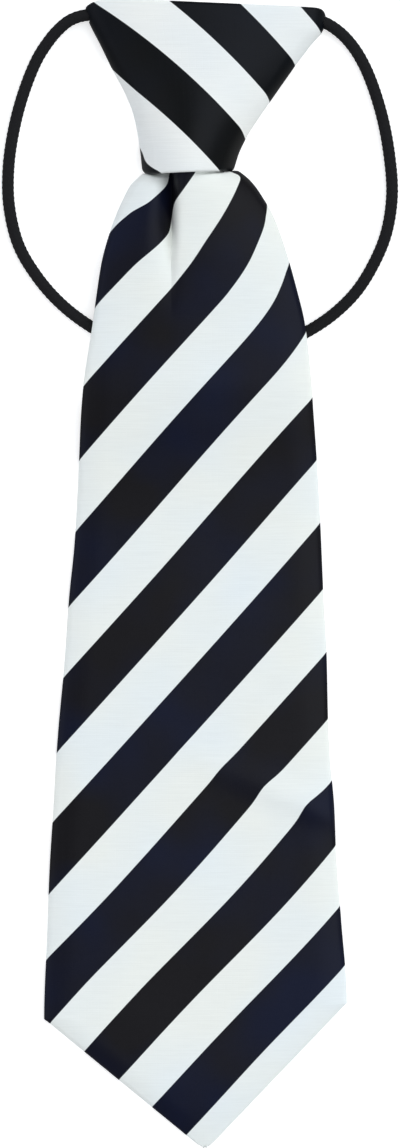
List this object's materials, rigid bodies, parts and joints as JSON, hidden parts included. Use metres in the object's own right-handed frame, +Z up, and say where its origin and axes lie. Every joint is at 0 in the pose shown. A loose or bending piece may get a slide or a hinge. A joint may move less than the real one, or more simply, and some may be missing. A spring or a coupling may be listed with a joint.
{
  "type": "elastic tie",
  "caption": "Child's ready-made striped necktie: tapered knot, dimpled blade with a pointed end, and a round elastic neck cord.",
  "frame": {"origin": "centre of the tie's box, without the neck cord, on the surface that it lies on", "axes": "+Y along the tie from its point to its knot, +Z up out of its face, +X to the right seen from the front"},
  "size_m": [0.0967, 0.28, 0.015],
  "materials": {
    "striped_satin": "woven polyester satin with slanting bands of white and black, soft sheen",
    "elastic_braid": "matt black round braided elastic"
  },
  "bodies": {
    "root": {"knot": "striped_satin", "blade": "striped_satin", "neck_elastic": "elastic_braid"}
  },
  "joints": []
}
